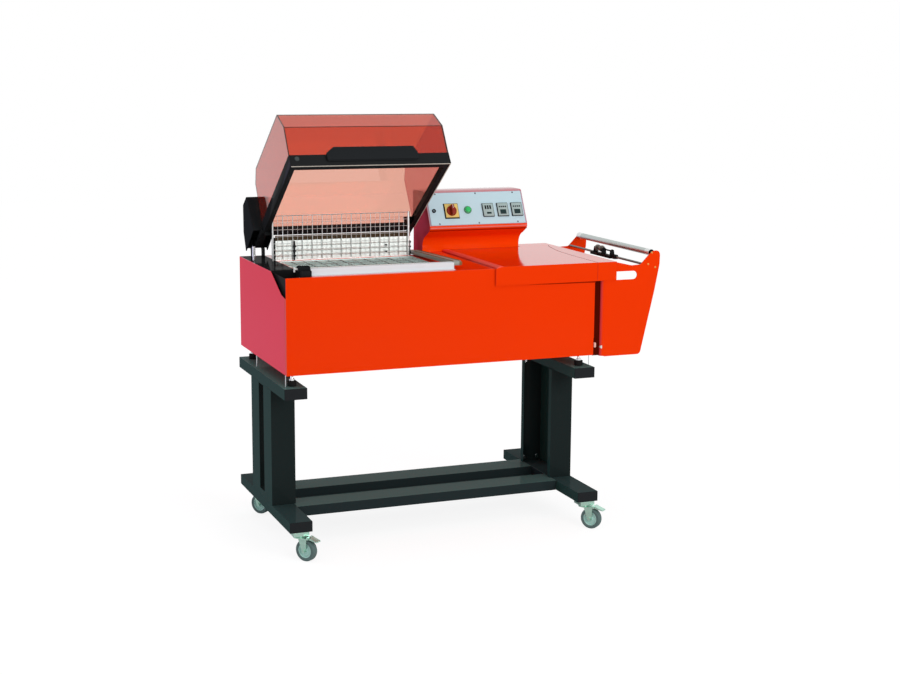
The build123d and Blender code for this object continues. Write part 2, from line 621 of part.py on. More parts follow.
with BuildPart() as guide_roller:
    rod((guide_x, plate_t + 3, guide_z), (0, 1, 0), 12, cradle_y1 - plate_t - 6)
    rod((guide_x, skin + gap, guide_z), (0, 1, 0), roller_axle_r, cradle_y1 + plate_t - skin - gap)
save(guide_roller, "guide_roller")

with BuildPart() as support_roller:
    rod((0, 30, 0), (0, 1, 0), 18, cradle_y1 - 57)
    rod((0, skin + gap, 0), (0, 1, 0), support_axle_r, cradle_y1 + plate_t - skin - gap)
save(support_roller, "film_roller_inner", Location((support_x[0], 0, support_z)))
save(support_roller, "film_roller_outer", Location((support_x[1], 0, support_z)))

with BuildPart() as perforator_rod:
    rod((rod_x, plate_t, rod_z), (0, 1, 0), rod_r, cradle_y1 - plate_t)
save(perforator_rod, "perforator_rod")

# Perforator: a carriage on the rod with a freely turning pair of pin wheels
perf_z = rod_z + 20
perf_x = rod_x - 2
with BuildPart() as perforator:
    block(rod_x - 13, rod_x + 9, perf_y - 80, perf_y + 90, rod_z - 9, rod_z + 2)
    block(rod_x - 8, rod_x + 8, perf_y - 112, perf_y - 80, rod_z - 8, rod_z + 8)
    for y in (perf_y - 80, perf_y - 10, perf_y + 60):
        prism_y([(rod_x - 13, rod_z + 2), (rod_x + 9, rod_z + 2), (rod_x + 6, rod_z + 24), (rod_x - 1, rod_z + 27),
                 (rod_x - 9, rod_z + 24)], y, y + 4)
    rod((perf_x, perf_y - 80, perf_z), (0, 1, 0), perf_axle_r, 144)
    rod((rod_x, perf_y - 120, rod_z), (0, 1, 0), rod_r + running, 220, Mode.SUBTRACT)
save(perforator, "perforator")

with BuildPart() as pin_wheel:
    rod((perf_x, perf_y - 5, perf_z), (0, 1, 0), 5, 64)
    for y in (perf_y + 4, perf_y + 40):
        rod((perf_x, y, perf_z), (0, 1, 0), perf_wheel_r, 10)
    rod((perf_x, perf_y - 6, perf_z), (0, 1, 0), perf_axle_r + running, 66, Mode.SUBTRACT)
save(pin_wheel, "pin_wheel")
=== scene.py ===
import json
from math import cos, radians, sin

import bpy
import bmesh
from mathutils import Matrix, Vector

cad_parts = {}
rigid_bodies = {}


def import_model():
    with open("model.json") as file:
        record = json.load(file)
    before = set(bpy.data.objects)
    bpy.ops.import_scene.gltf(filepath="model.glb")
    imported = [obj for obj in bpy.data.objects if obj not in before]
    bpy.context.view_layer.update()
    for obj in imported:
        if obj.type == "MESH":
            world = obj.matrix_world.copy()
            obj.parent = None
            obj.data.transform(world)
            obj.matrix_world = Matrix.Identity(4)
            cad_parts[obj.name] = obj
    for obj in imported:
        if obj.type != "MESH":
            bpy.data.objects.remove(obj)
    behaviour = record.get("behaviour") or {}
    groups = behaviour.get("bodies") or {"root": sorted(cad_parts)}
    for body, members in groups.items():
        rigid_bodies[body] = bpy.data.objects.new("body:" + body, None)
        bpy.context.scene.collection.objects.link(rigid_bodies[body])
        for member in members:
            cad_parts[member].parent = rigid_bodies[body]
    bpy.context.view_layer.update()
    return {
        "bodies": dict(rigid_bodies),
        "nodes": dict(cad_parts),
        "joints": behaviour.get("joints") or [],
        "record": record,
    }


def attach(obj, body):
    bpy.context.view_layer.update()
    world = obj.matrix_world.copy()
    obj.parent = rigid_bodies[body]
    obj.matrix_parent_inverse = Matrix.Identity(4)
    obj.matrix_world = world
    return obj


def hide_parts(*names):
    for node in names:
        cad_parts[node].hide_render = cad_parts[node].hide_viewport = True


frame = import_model()
nodes = frame["nodes"]


# Stand: welded square tube and folded sheet in glossy black enamel, with moulded caps
# pressed into the tube ends. Fine orange peel shows in the enamel. Its upward and left
# faces have a coat of their own, and a colour of their own that is painted reflection.
def enamel(name, colour, roughness, coat, peel=0.02, dust=0.06, specular=0.0,
           top_coat=None, left_coat=None, top_painted_light=None, left_painted_light=None):
    finish = bpy.data.materials.new(name)
    finish.use_nodes = True
    tree = finish.node_tree
    shader = tree.nodes["Principled BSDF"]
    place = tree.nodes.new("ShaderNodeTexCoord")
    cloud = tree.nodes.new("ShaderNodeTexNoise")
    cloud.inputs["Scale"].default_value = 3.0
    cloud.inputs["Detail"].default_value = 5.0
    shade = tree.nodes.new("ShaderNodeMapRange")
    shade.inputs["To Min"].default_value = 1.0 - dust
    shade.inputs["To Max"].default_value = 1.0 + dust
    tint = tree.nodes.new("ShaderNodeVectorMath")
    tint.operation = "SCALE"
    tint.inputs[0].default_value = colour
    gloss = tree.nodes.new("ShaderNodeMapRange")
    gloss.inputs["To Min"].default_value = roughness * 0.8
    gloss.inputs["To Max"].default_value = roughness * 1.25
    skin = tree.nodes.new("ShaderNodeTexNoise")
    skin.inputs["Scale"].default_value = 260.0
    skin.inputs["Detail"].default_value = 1.0
    bump = tree.nodes.new("ShaderNodeBump")
    bump.inputs["Strength"].default_value = peel
    bump.inputs["Distance"].default_value = 0.001
    link = tree.links.new
    link(place.outputs["Object"], cloud.inputs["Vector"])
    link(place.outputs["Object"], skin.inputs["Vector"])
    link(cloud.outputs["Fac"], shade.inputs["Value"])
    link(cloud.outputs["Fac"], gloss.inputs["Value"])
    link(shade.outputs["Result"], tint.inputs["Scale"])
    hue = tint.outputs["Vector"]
    facing = tree.nodes.new("ShaderNodeSeparateXYZ")
    link(place.outputs["Normal"], facing.inputs["Vector"])
    # Upward and left faces blend towards colours of their own: painted reflection of the light from above
    # and from the left.
    for axis, sign, painted_face_light in (("Z", 1, top_painted_light), ("X", -1, left_painted_light)):
        if painted_face_light:
            painted_light_mask = tree.nodes.new("ShaderNodeMapRange")
            painted_light_mask.inputs["From Min"].default_value = 0.4 * sign
            painted_light_mask.inputs["From Max"].default_value = 0.9 * sign
            blend = tree.nodes.new("ShaderNodeMix")
            blend.data_type = "RGBA"
            blend.inputs["B"].default_value = (*painted_face_light, 1)
            link(facing.outputs[axis], painted_light_mask.inputs["Value"])
            link(painted_light_mask.outputs["Result"], blend.inputs["Factor"])
            link(hue, blend.inputs["A"])
            hue = blend.outputs["Result"]
    link(hue, shader.inputs["Base Color"])
    link(gloss.outputs["Result"], shader.inputs["Roughness"])
    link(skin.outputs["Fac"], bump.inputs["Height"])
    link(bump.outputs["Normal"], shader.inputs["Normal"])
    shader.inputs["Specular IOR Level"].default_value = specular
    shader.inputs["Coat Weight"].default_value = coat
    shader.inputs["Coat Roughness"].default_value = 0.08
    if top_coat is not None:
        level = tree.nodes.new("ShaderNodeMapRange")
        level.inputs["From Min"].default_value = 0.5
        level.inputs["From Max"].default_value = 0.95
        level.inputs["To Min"].default_value = coat
        level.inputs["To Max"].default_value = top_coat
        link(facing.outputs["Z"], level.inputs["Value"])
        left = tree.nodes.new("ShaderNodeMapRange")
        left.inputs["From Min"].default_value = -0.5
        left.inputs["From Max"].default_value = -0.95
        left.inputs["To Min"].default_value = 0.0
        left.inputs["To Max"].default_value = left_coat - coat
        link(facing.outputs["X"], left.inputs["Value"])
        both = tree.nodes.new("ShaderNodeMath")
        both.operation = "ADD"
        link(level.outputs["Result"], both.inputs[0])
        link(left.outputs["Result"], both.inputs[1])
        link(both.outputs["Value"], shader.inputs["Coat Weight"])
    return finish


def dress(finish, *names, edge=0.0):
    for name in names:
        piece = nodes[name]
        piece.data.materials.clear()
        piece.data.materials.append(finish)
        if edge:
            weld = piece.modifiers.new("weld", "WELD")
            weld.merge_threshold = 0.00002
            soft = piece.modifiers.new("edge", "BEVEL")
            soft.width = edge
            soft.segments = 2
            soft.limit_method = "ANGLE"
            soft.angle_limit = radians(40)
            soft.harden_normals = True


def at(x, y, z):
    return Vector((x - 733.5, y - 294.04, z)) / 1000


def fit(name, shape, finish, body, stands_for=(), smooth=35):
    bmesh.ops.recalc_face_normals(shape, faces=shape.faces)
    mesh = bpy.data.meshes.new(name)
    shape.to_mesh(mesh)
    shape.free()
    mesh.materials.append(finish)
    mesh.shade_smooth()
    mesh.set_sharp_from_angle(angle=radians(smooth))
    piece = bpy.data.objects.new(name, mesh)
    bpy.context.scene.collection.objects.link(piece)
    if stands_for:
        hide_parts(*stands_for)
    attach(piece, body)
    return piece


# The lighter greenish colours of the upward and left faces here are painted reflection, not the enamel's
# own colour.
stand_black = enamel("stand_enamel", (0.013, 0.02, 0.02), 0.3, 0.06, top_coat=0.06, left_coat=0.1,
                     top_painted_light=(0.03, 0.055, 0.055), left_painted_light=(0.022, 0.055, 0.05))
top_black = enamel("top_bar_enamel", (0.011, 0.017, 0.017), 0.3, 0.05, top_coat=0.06, left_coat=0.1,
                   top_painted_light=(0.1, 0.19, 0.18), left_painted_light=(0.022, 0.055, 0.05))
dress(top_black, "stand_top_bars", edge=0.0015)
dress(stand_black, "stand_foot_bars", "stand_columns", edge=0.0015)
shelf_black = enamel("shelf_enamel", (0.018, 0.028, 0.03), 0.35, 0.08, top_coat=0.1, left_coat=0.1,
                     top_painted_light=(0.07, 0.13, 0.12))
dress(shelf_black, "lower_shelf", edge=0.0015)
cap_black = enamel("cap_plastic", (0.02, 0.022, 0.024), 0.45, 0.0, peel=0.08)
dress(cap_black, "bar_end_caps", edge=0.001)


# Castors: forks, plates and pedals pressed from sheet steel and plated with zinc. The wheels
# are solid grey rubber on a moulded hub, held in the fork by an axle with a nut at each end.
def plated(name, colour, roughness, brushed=0.0, grain=(1, 1, 30)):
    finish = bpy.data.materials.new(name)
    finish.use_nodes = True
    tree = finish.node_tree
    shader = tree.nodes["Principled BSDF"]
    shader.inputs["Metallic"].default_value = 1.0
    place = tree.nodes.new("ShaderNodeTexCoord")
    turn = tree.nodes.new("ShaderNodeMapping")
    turn.inputs["Scale"].default_value = grain
    cloud = tree.nodes.new("ShaderNodeTexNoise")
    cloud.inputs["Scale"].default_value = 14.0
    cloud.inputs["Detail"].default_value = 6.0
    blend = tree.nodes.new("ShaderNodeMix")
    blend.data_type = "RGBA"
    blend.inputs["A"].default_value = (*[c * 0.78 for c in colour], 1)
    blend.inputs["B"].default_value = (*[min(1, c * 1.12) for c in colour], 1)
    gloss = tree.nodes.new("ShaderNodeMapRange")
    gloss.inputs["To Min"].default_value = roughness * 0.7
    gloss.inputs["To Max"].default_value = roughness * 1.4
    bump = tree.nodes.new("ShaderNodeBump")
    bump.inputs["Strength"].default_value = 0.05 + brushed
    bump.inputs["Distance"].default_value = 0.0005
    link = tree.links.new
    link(place.outputs["Object"], turn.inputs["Vector"])
    link(turn.outputs["Vector"], cloud.inputs["Vector"])
    link(cloud.outputs["Fac"], blend.inputs["Factor"])
    link(blend.outputs["Result"], shader.inputs["Base Color"])
    link(cloud.outputs["Fac"], gloss.inputs["Value"])
    link(gloss.outputs["Result"], shader.inputs["Roughness"])
    link(cloud.outputs["Fac"], bump.inputs["Height"])
    link(bump.outputs["Normal"], shader.inputs["Normal"])
    return finish


corners = ("front_left", "front_right", "rear_left", "rear_right")
zinc = plated("zinc_plate", (0.5, 0.76, 0.64), 0.3)
dress(zinc, "castor_plates", *["castor_fork_" + c for c in corners], edge=0.0005)
dress(zinc, "brake_pedal_front_left", "brake_pedal_front_right", edge=0.0005)
tread = enamel("grey_rubber", (0.1, 0.155, 0.15), 0.6, 0.0, peel=0.15, dust=0.15, specular=0.3)
hub_grey = enamel("hub_plastic", (0.4, 0.64, 0.58), 0.4, 0.0, peel=0.05, specular=0.4)


def turned(shape, outline, steps=48):
    ring = [shape.verts.new((r, 0, h)) for r, h in outline]
    edges = [shape.edges.new(pair) for pair in zip(ring, ring[1:] + ring[:1])]
    bmesh.ops.spin(shape, geom=ring + edges, cent=(0, 0, 0), axis=(0, 0, 1), angle=radians(360),
                   steps=steps, use_merge=True)


castor_x = {"left": 34, "right": 1166}
castor_y = {"front": -20, "rear": 612}
trail_angle = radians(-52.3256)
trail = 0.031
wheel_radius = 0.04
along_y = Matrix.Rotation(radians(90), 4, "X")
for corner in corners:
    row, end_side = corner.split("_")
    swivel = (Matrix.Translation(at(castor_x[end_side], castor_y[row], 0))
              @ Matrix.Rotation(trail_angle, 4, "Z"))
    axle = swivel @ Matrix.Translation((trail, 0, wheel_radius)) @ along_y
    tyre = bmesh.new()
    turned(tyre, [(0.027, -0.0115), (0.0362, -0.0125), (0.0388, -0.0110), (0.0400, -0.0075),
                  (0.0400, 0.0075), (0.0388, 0.0110), (0.0362, 0.0125), (0.027, 0.0115)])
    bmesh.ops.transform(tyre, matrix=axle, verts=tyre.verts)
    fit("castor_tyre_" + corner, tyre, tread, "castor_wheel_" + corner, ["castor_wheel_" + corner])
    hub = bmesh.new()
    turned(hub, [(0.0041, -0.0125), (0.0095, -0.0125), (0.0105, -0.0085), (0.0225, -0.0070),
                 (0.0245, -0.0112), (0.0270, -0.0115), (0.0270, 0.0115), (0.0245, 0.0112),
                 (0.0225, 0.0070), (0.0105, 0.0085), (0.0095, 0.0125), (0.0041, 0.0125)])
    bmesh.ops.transform(hub, matrix=axle, verts=hub.verts)
    fit("castor_hub_" + corner, hub, hub_grey, "castor_wheel_" + corner)
    nuts = bmesh.new()
    for side in (-1, 1):
        bmesh.ops.create_cone(nuts, cap_ends=True, segments=6, radius1=0.0072, radius2=0.0066,
                              depth=0.004, matrix=axle @ Matrix.Translation((0, 0, side * 0.019)))
    bmesh.ops.create_cone(nuts, cap_ends=True, segments=36, radius1=0.021, radius2=0.0175, depth=0.0022,
                          matrix=swivel @ Matrix.Translation((0, 0, 0.0868)))
    fit("castor_nuts_" + corner, nuts, zinc, "castor_fork_" + corner)

# Machine feet and column bolts: black rubber buffers on bright plated studs with nuts, and
# hexagon bolts with washers that hold the columns to the stand's bars.
buffer_rubber = enamel("buffer_rubber", (0.018, 0.018, 0.018), 0.65, 0.0, peel=0.1)
dress(buffer_rubber, "machine_feet", edge=0.001)
bright = plated("bright_plate", (0.78, 0.79, 0.8), 0.12)
dress(bright, "foot_studs", edge=0.0004)
bolts = bmesh.new()
for x in (11, 70, 1130, 1189):
    for z in (161, 565):
        bmesh.ops.create_cone(bolts, cap_ends=True, segments=32, radius1=0.0085, radius2=0.0085,
                              depth=0.0012, matrix=Matrix.Translation(at(x, 468.4, z)) @ along_y)
        bmesh.ops.create_cone(bolts, cap_ends=True, segments=6, radius1=0.0072, radius2=0.0068,
                              depth=0.0042, matrix=Matrix.Translation(at(x, 466.2, z)) @ along_y)
fit("column_bolts", bolts, bright, "machine", ["hex_bolts"])

# Housing: 2 mm sheet, folded and screwed together, with a smooth and glossy orange-red
# powder coat; the tray and film guide have the same coat. The left side panel's bluer colour
# and the pinker left faces of the other orange pieces are painted reflection of the lavender
# light from the left, and the side panel also has a lavender sheen.
orange = enamel("orange_paint", (0.85, 0.038, 0.001), 0.4, 0.06, peel=0.015, dust=0.02,
                top_coat=1.0, left_coat=0.4, left_painted_light=(0.78, 0.05, 0.055))
side_orange_and_reflection = enamel("side_paint_painted_reflection", (0.95, 0.03, 0.045), 0.4, 0.06, peel=0.015, dust=0.02,
                     top_coat=1.0, left_coat=0.3)
side_sheen = side_orange_and_reflection.node_tree.nodes["Principled BSDF"].inputs
side_sheen["Sheen Weight"].default_value = 0.2
side_sheen["Sheen Roughness"].default_value = 0.4
side_sheen["Sheen Tint"].default_value = (0.35, 0.3, 1.0, 1)
dress(side_orange_and_reflection, "left_side_panel", edge=0.0006)
dress(orange, "front_panel", "right_side_panel", "rear_panel", "base_plate", "top_deck",
      "loading_tray", "film_guide_plate", edge=0.0006)

# Black fittings on the housing: the deck plate with the open pocket, the hinge brackets, the
# seal frame's mounts, the perforator carriage and the moulded cable gland at the rear.
satin_black = enamel("satin_black", (0.016, 0.017, 0.018), 0.4, 0.1, peel=0.03)
dress(satin_black, "left_deck_plate", "hinge_brackets", "seal_frame_mounts", "perforator", edge=0.0006)
dress(cap_black, "cable_gland")

# Shrink chamber: pan and rear wall folded from brushed stainless sheet, with the heater rods
# in the pan.
stainless = plated("stainless_sheet", (0.8, 0.84, 0.81), 0.42, brushed=0.1, grain=(1, 40, 40))
pan_steel = plated("pan_steel", (0.74, 0.95, 0.9), 0.45, brushed=0.1, grain=(1, 40, 40))
dress(pan_steel, "chamber_pan", "heater_rods")
dress(stainless, "chamber_rear_wall")

# Guard: upright wires of two sizes welded to cross wires, between a thin and a thick post.
# It stands on the deck in front of the rear wall.
def bar(shape, a, b, radius, sides=10):
    run = b - a
    turn = run.to_track_quat("Z", "Y").to_matrix().to_4x4()
    bmesh.ops.create_cone(shape, cap_ends=True, segments=sides, radius1=radius, radius2=radius,
                          depth=run.length, matrix=Matrix.Translation((a + b) / 2) @ turn)


guard = bmesh.new()
guard_left, guard_right = 84, 626
guard_y = 472
deck_z = 1013
guard_top = 1183
guard_spaces = 28
bar(guard, at(guard_left, guard_y, deck_z), at(guard_left, guard_y, guard_top + 2), 0.0028)
bar(guard, at(guard_right, guard_y, deck_z), at(guard_right, guard_y, guard_top + 2), 0.0045, 14)
for i in range(1, guard_spaces):
    x = guard_left + i * (guard_right - guard_left) / guard_spaces
    upright_radius = 0.0017 if i % 2 == 0 else 0.0006
    bar(guard, at(x, guard_y, 1016), at(x, guard_y, guard_top), upright_radius, 8)
for z in (1017, 1036, 1055, 1078, 1104, 1130, 1156, guard_top):
    cross_radius = 0.0008 if z < guard_top else 0.0018
    bar(guard, at(guard_left, 470.4, z), at(guard_right, 470.4, z), cross_radius, 8)
fit("guard_mesh", guard, plated("guard_wire", (0.93, 0.97, 0.95), 0.3), "machine", ["wire_guard"])

# Rear wall's fittings: black moulded clips along the guard, two black studs, and a narrow
# black post at the left.
def round_edges(shape, edges, offset, segments=3):
    bmesh.ops.bevel(shape, geom=edges, offset=offset, offset_type="OFFSET", segments=segments,
                    profile=0.5, affect="EDGES", material=-1)


def slab(shape, low, high, edge=0.0, segments=2, frame=Matrix()):
    made = bmesh.ops.create_cube(shape, size=1, matrix=frame @ Matrix.Translation((low + high) / 2)
                                 @ Matrix.Diagonal((*(high - low), 1)))
    if edge:
        round_edges(shape, list({e for v in made["verts"] for e in v.link_edges}), edge, segments)


clips = bmesh.new()
for x in (167, 630):
    bar(clips, at(x, 473.5, 1014), at(x, 473.5, 1086 if x < 200 else 1072), 0.0045, 12)
    for z in (1030, 1048, 1066):
        bar(clips, at(x - 6, 471, z), at(x + 6, 471, z), 0.0035, 10)
for z in (1033, 1057):
    bar(clips, at(535, 476.4, z), at(535, 472, z), 0.0042, 16)
slab(clips, at(81.5, 475.5, 1013), at(95, 481, 1100), 0.0006)
fit("guard_clips", clips, cap_black, "machine")

# Spring beside the left hinge: bright plated turns on a rod that stands on the deck.
# The turns are short round discs, one above the other.
spring = bmesh.new()
for i in range(12):
    bar(spring, at(18, 503, 1030 + i * 3.1), at(18, 503, 1032.2 + i * 3.1), 0.0062, 20)
bar(spring, at(18, 503, 1014), at(18, 503, 1068), 0.0046, 20)
fit("hood_spring", spring, bright, "machine")

# Rear wall's edging: a brown strip along the wall's upper edge, with a round bead on top.
# It lies between the wall's two ends.
edging = bmesh.new()
bar(edging, at(95, 479, 1104), at(636, 479, 1104), 0.0036, 12)
slab(edging, at(95, 478.2, 1087), at(636, 479.8, 1104))
fit("wall_edging", edging, enamel("wall_edging", (0.09, 0.06, 0.035), 0.5, 0.1), "machine")

# Product grid: welded wire mesh in a wire rim, with darker stays among its wires. It is
# laid on the pan's ledge and lifts out.
mesh_wire = plated("mesh_wire", (0.5, 0.6, 0.57), 0.35)
wires = bmesh.new()
low = at(105, 82, 1001.8)
high = at(635, 466, 1008.8)
for x in (low.x + 0.003, high.x - 0.003):
    bar(wires, Vector((x, low.y, low.z + 0.0035)), Vector((x, high.y, low.z + 0.0035)), 0.003)
for y in (low.y + 0.003, high.y - 0.003):
    bar(wires, Vector((low.x, y, low.z + 0.0035)), Vector((high.x, y, low.z + 0.0035)), 0.003)
for i in range(1, 24):
    x = low.x + i * (high.x - low.x) / 24
    bar(wires, Vector((x, low.y, low.z + 0.0025)), Vector((x, high.y, low.z + 0.0025)), 0.0014, 8)
for i in range(1, 11):
    y = low.y + i * (high.y - low.y) / 11
    bar(wires, Vector((low.x, y, low.z + 0.0052)), Vector((high.x, y, low.z + 0.0052)), 0.0014, 8)
fit("grid_mesh", wires, mesh_wire, "product_grid", ["product_grid"])
stays = bmesh.new()
for i in range(1, 11):
    x = low.x + i * (high.x - low.x) / 11
    bar(stays, Vector((x, low.y, low.z + 0.0052)), Vector((x, high.y, low.z + 0.0052)), 0.0016, 8)
for i in range(1, 5):
    y = low.y + i * (high.y - low.y) / 5
    bar(stays, Vector((low.x, y, low.z + 0.0028)), Vector((high.x, y, low.z + 0.0028)), 0.0016, 8)
fit("grid_stays", stays, plated("stay_wire", (0.1, 0.12, 0.12), 0.4), "product_grid")

# Blower under the chamber: a painted motor that turns an impeller of anodised aluminium.
# Both sit out of sight below the grid.
motor_grey = enamel("motor_paint", (0.05, 0.06, 0.065), 0.4, 0.0)
dress(motor_grey, "blower_motor", edge=0.002)
silver = plated("anodised", (0.78, 0.8, 0.83), 0.35)
dress(silver, "blower_impeller")

# Seal frame: extruded front bar with the bright seal wire on top, and a welded side arm edged
# with brown non-stick tape. A ribbed cover stands before the terminals, and a white
# spring pin at the bar's left end.
bar_alloy = enamel("seal_alloy", (0.76, 0.81, 0.84), 0.4, 0.05)
dress(bar_alloy, "seal_guide_rail")
dress(cap_black, "terminal_block")
bar_left, bar_right = 103, 645
front_bar = bmesh.new()
slab(front_bar, at(bar_left, 42, 1025.6), at(bar_right, 72, 1037.5), 0.0012)
fit("seal_front_bar", front_bar, bar_alloy, "seal_frame", ["seal_frame"])
cover = bmesh.new()
slab(cover, at(63, 17, 1013.2), at(100, 39, 1033), 0.001)
for i in range(7):
    slab(cover, at(65 + i * 5.2, 15.6, 1014), at(67 + i * 5.2, 40.2, 1034.6), 0.0004)
fit("terminal_cover", cover, cap_black, "machine")


def pull(shape, faces, along):
    swept = bmesh.ops.extrude_face_region(shape, geom=faces)["geom"]
    moved = [v for v in swept if isinstance(v, bmesh.types.BMVert)]
    bmesh.ops.translate(shape, verts=moved, vec=along)


def draw_out(shape, corners, along):
    pull(shape, [shape.faces.new([shape.verts.new(place) for place in corners])], along)


arm_grey = enamel("arm_casting", (0.28, 0.3, 0.26), 0.45, 0.3, specular=0.4)
arm = bmesh.new()
arm_side = ((44, 1025.6), (493, 1014.9), (507, 1016.2), (507, 1028), (500, 1029.6), (60, 1041.5),
            (44, 1038))
draw_out(arm, [at(bar_right, y, z) for y, z in arm_side], (0.034, 0, 0))
bmesh.ops.recalc_face_normals(arm, faces=arm.faces)
round_edges(arm, list(arm.edges), 0.002)
fit("seal_side_arm", arm, arm_grey, "seal_frame", ["seal_frame"])
tape_brown = enamel("tape_brown", (0.24, 0.14, 0.06), 0.5, 0.1, peel=0.05, dust=0.15)
tape = bmesh.new()
for x0, x1 in ((645.4, 650), (671, 678.4)):
    slab(tape, at(x0, 58, 1041.2), at(x1, 496, 1042.4), 0.0003)
arm_front = at(662, 60, 1041.5)
arm_fall = Matrix.Rotation(radians(-1.55), 4, "X")
bmesh.ops.transform(tape, matrix=Matrix.Translation(arm_front) @ arm_fall @ Matrix.Translation(-arm_front),
                    verts=tape.verts)
slab(tape, at(668, 42.4, 1026), at(679.2, 62, 1039.6), 0.003, 4)
fit("side_arm_tape", tape, tape_brown, "seal_frame")
seal_wire = bmesh.new()
bar(seal_wire, at(bar_left + 1, 57, 1037.8), at(bar_right, 57, 1037.8), 0.0012, 8)
fit("seal_wire", seal_wire, bright, "seal_frame")
white_plastic = enamel("white_plastic", (0.75, 0.76, 0.75), 0.35, 0.1)
pin = bmesh.new()
bar(pin, at(60, 57, 1036), at(46, 57, 1036), 0.0035, 16)
bar(pin, at(48, 57, 1026), at(48, 57, 1044), 0.003, 16)
fit("spring_pin", pin, white_plastic, "seal_frame")


# Hood shell: bent sheet of smoked red acrylic, 5 mm thick, clear enough to see through. Its
# rear and crown are paler and its ends darker and pinker, as painted light: they stand for the
# reflections and shading the sheet shows there. The black hinge arms and the moulded hinge
# cover at the left turn with it.
acrylic = bpy.data.materials.new("red_acrylic")
acrylic.use_nodes = True
tree = acrylic.node_tree
shader = tree.nodes["Principled BSDF"]
shader.inputs["Transmission Weight"].default_value = 0.95
shader.inputs["IOR"].default_value = 1.45
shader.inputs["Roughness"].default_value = 0.03
place = tree.nodes.new("ShaderNodeTexCoord")
depth = tree.nodes.new("ShaderNodeSeparateXYZ")
# Paler towards the rear and at the crown, darker and pinker at the ends: painted light.
back = tree.nodes.new("ShaderNodeMapRange")
back.inputs["From Min"].default_value = 0.0
back.inputs["From Max"].default_value = 0.022
tone = tree.nodes.new("ShaderNodeMix")
tone.data_type = "RGBA"
tone.inputs["A"].default_value = (0.74, 0.112, 0.042, 1)
tone.inputs["B"].default_value = (0.84, 0.44, 0.34, 1)
ends = tree.nodes.new("ShaderNodeSeparateXYZ")
end = tree.nodes.new("ShaderNodeMath")
end.operation = "ABSOLUTE"
flank_painted_tone = tree.nodes.new("ShaderNodeMix")
flank_painted_tone.data_type = "RGBA"
flank_painted_tone.inputs["B"].default_value = (0.57, 0.14, 0.115, 1)
tree.links.new(place.outputs["Object"], depth.inputs["Vector"])
tree.links.new(depth.outputs["Y"], back.inputs["Value"])
tree.links.new(back.outputs["Result"], tone.inputs["Factor"])
tree.links.new(place.outputs["Normal"], ends.inputs["Vector"])
tree.links.new(ends.outputs["X"], end.inputs[0])
tree.links.new(end.outputs["Value"], flank_painted_tone.inputs["Factor"])
crown_painted_share = tree.nodes.new("ShaderNodeMapRange")
crown_painted_share.inputs["From Min"].default_value = 0.88
crown_painted_share.inputs["From Max"].default_value = 0.95
crown_painted_tone = tree.nodes.new("ShaderNodeMix")
crown_painted_tone.data_type = "RGBA"
crown_painted_tone.inputs["B"].default_value = (0.78, 0.26, 0.2, 1)
tree.links.new(ends.outputs["Z"], crown_painted_share.inputs["Value"])
tree.links.new(crown_painted_share.outputs["Result"], crown_painted_tone.inputs["Factor"])
tree.links.new(tone.outputs["Result"], crown_painted_tone.inputs["A"])
tree.links.new(crown_painted_tone.outputs["Result"], flank_painted_tone.inputs["A"])
tree.links.new(flank_painted_tone.outputs["Result"], shader.inputs["Base Color"])
dress(acrylic, "hood_shell")
dress(satin_black, "hood_hinge_arms", edge=0.0008)
dress(cap_black, "hinge_cover", edge=0.002)

# Handle: a black moulding over the hood's front bar, with a flat foot behind it. The hood and
# its trim are drawn closed, in the hinge's own axes, and then raised.
hood_opening = radians(-35.5)
raised = Matrix.Translation(at(0, 650, 1073)) @ Matrix.Rotation(hood_opening, 4, "X")
grip = bmesh.new()
outline = [(196, 3), (196, -25), (543, -25), (543, 3), (530, 28), (226, 28)]
draw_out(grip, [Vector((x, -621.5, z)) / 1000 for x, z in outline], (0, 0.0085, 0))
slab(grip, Vector((0.200, -0.614, -0.026)), Vector((0.536, -0.608, 0)))
bmesh.ops.recalc_face_normals(grip, faces=grip.faces)
round_edges(grip, list(grip.edges), 0.0028)
bmesh.ops.transform(grip, matrix=raised, verts=grip.verts)
fit("handle_grip", grip, cap_black, "hood", ["hood_handle"], smooth=50)

# Hood frame: a black angle frame round the acrylic's mouth, with a pale silicone strip under
# it, an acrylic skirt at its rear edge and a moulded plug in the front bar's left end.
silicone = enamel("silicone_strip", (0.6, 0.55, 0.48), 0.5, 0.0)
strip = bmesh.new()
slab(strip, Vector((62, -607.5, -44.0)) / 1000, Vector((667, -604.5, -42.1)) / 1000, 0.0004)
slab(strip, Vector((664.5, -604.5, -44.0)) / 1000, Vector((667.5, -140, -42.1)) / 1000, 0.0004)
bmesh.ops.transform(strip, matrix=raised, verts=strip.verts)
fit("silicone_strip", strip, silicone, "hood")
ring = bmesh.new()
for x0, x1, y0, y1, z0, z1 in ((60, 64, -608, -136, -42, 4), (664, 668, -608, -136, -42, 4),
                               (64, 664, -608, -604, -42, 4), (64, 628, -140, -136, -56, -20),
                               (628, 664, -140, -136, -42, 4), (64, 80, -604, -140, -42, -38),
                               (648, 664, -604, -140, -42, -38), (80, 648, -604, -580, -42, -38),
                               (88, 628, -160, -140, -56, -52), (84, 88, -160, -140, -56, -38),
                               (628, 632, -160, -140, -56, -38), (632, 648, -160, -140, -42, -38)):
    slab(ring, Vector((x0, y0, z0)) / 1000, Vector((x1, y1, z1)) / 1000, 0.0008)
bmesh.ops.transform(ring, matrix=raised, verts=ring.verts)
fit("frame_ring", ring, satin_black, "hood", ["hood_frame"])
skirt = bmesh.new()
slab(skirt, Vector((64, -141, -24)) / 1000, Vector((640, -136.2, 4.4)) / 1000, 0.0006)
bmesh.ops.transform(skirt, matrix=raised, verts=skirt.verts)
fit("rear_skirt", skirt, acrylic, "hood")
plug = bmesh.new()
